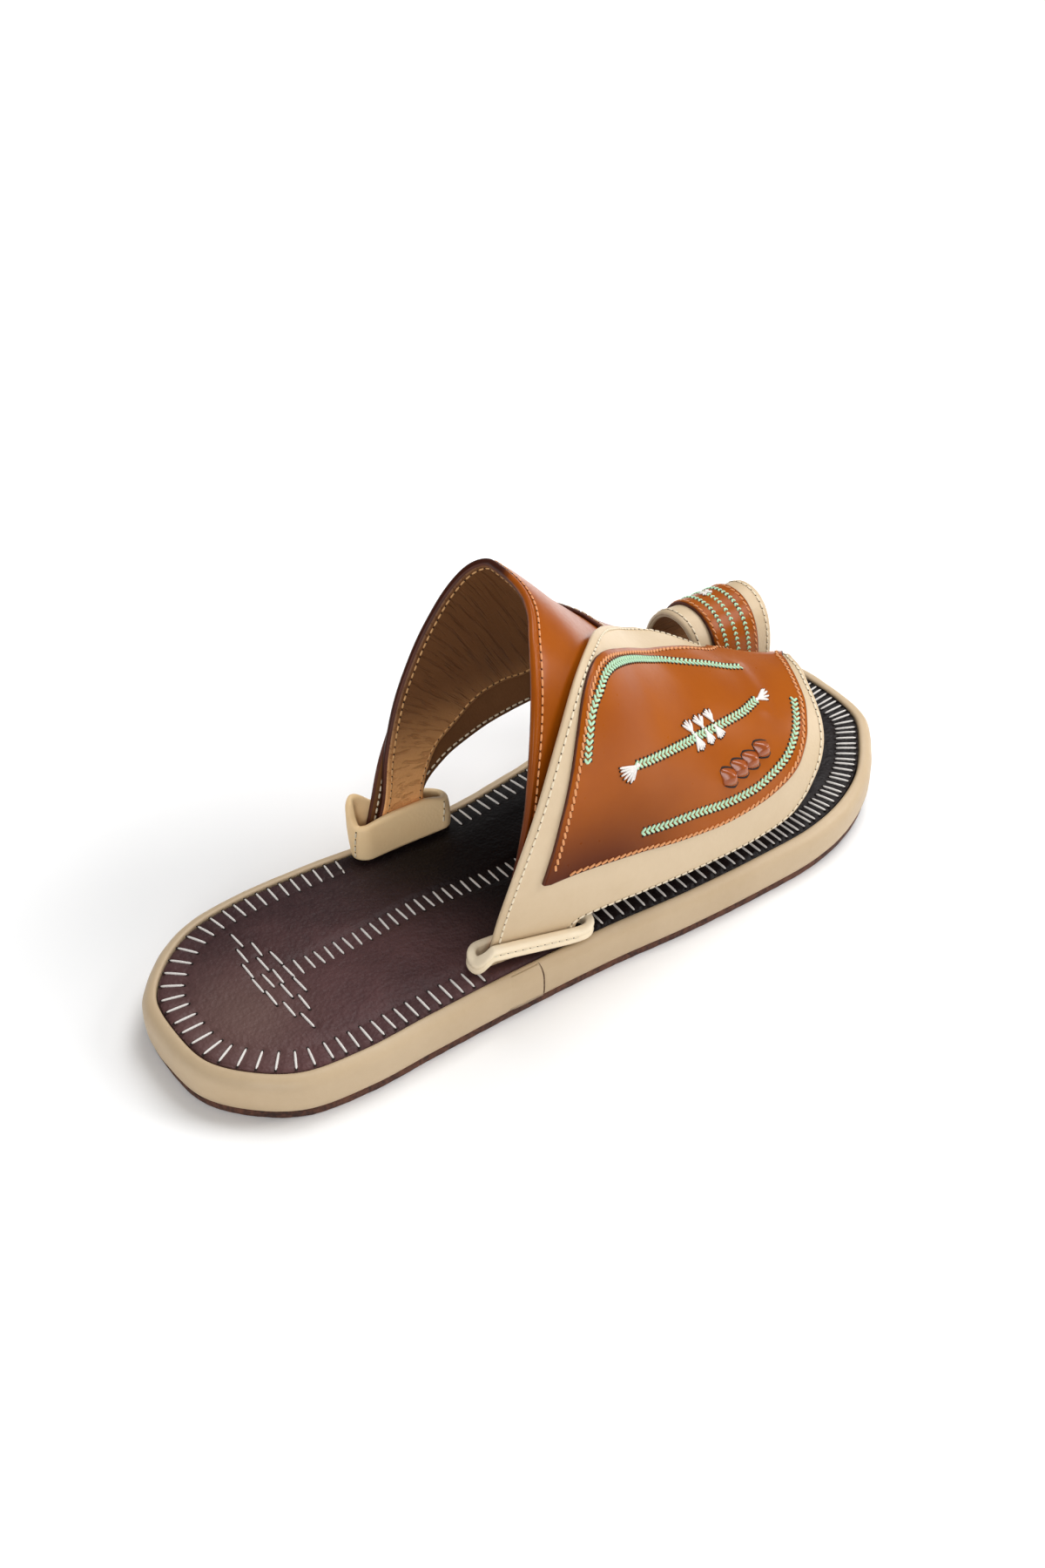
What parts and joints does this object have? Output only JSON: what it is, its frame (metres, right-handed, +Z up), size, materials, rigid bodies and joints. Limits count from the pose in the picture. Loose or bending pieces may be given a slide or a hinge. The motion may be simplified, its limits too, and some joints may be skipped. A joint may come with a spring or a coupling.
{
  "type": "arabic sandal",
  "caption": "Right-foot leather sandal of the Gulf type with a flat wrapped sole, crossed instep straps, an embroidered front panel and a loop for the big toe.",
  "frame": {"origin": "the middle of the sole's box, on the floor", "axes": "+Y from the heel to the toe, +Z up, +X to the outer side of the foot"},
  "size_m": [0.108, 0.288, 0.1188],
  "materials": {
    "outsole_leather": "rough brown sole leather, matt",
    "wrap_leather": "smooth beige leather, satin",
    "insole_leather": "smooth dark aubergine leather, satin",
    "strap_leather": "smooth cognac leather, semi-gloss",
    "trim_leather": "smooth beige leather, satin"
  },
  "bodies": {
    "root": {"outsole": "outsole_leather", "midsole": "wrap_leather", "insole": "insole_leather", "upper": "strap_leather", "front_panel_overlay": "strap_leather", "toe_loop": "trim_leather", "toe_loop_overlay": "strap_leather", "keeper_inner": "trim_leather", "keeper_outer": "trim_leather"}
  },
  "joints": []
}
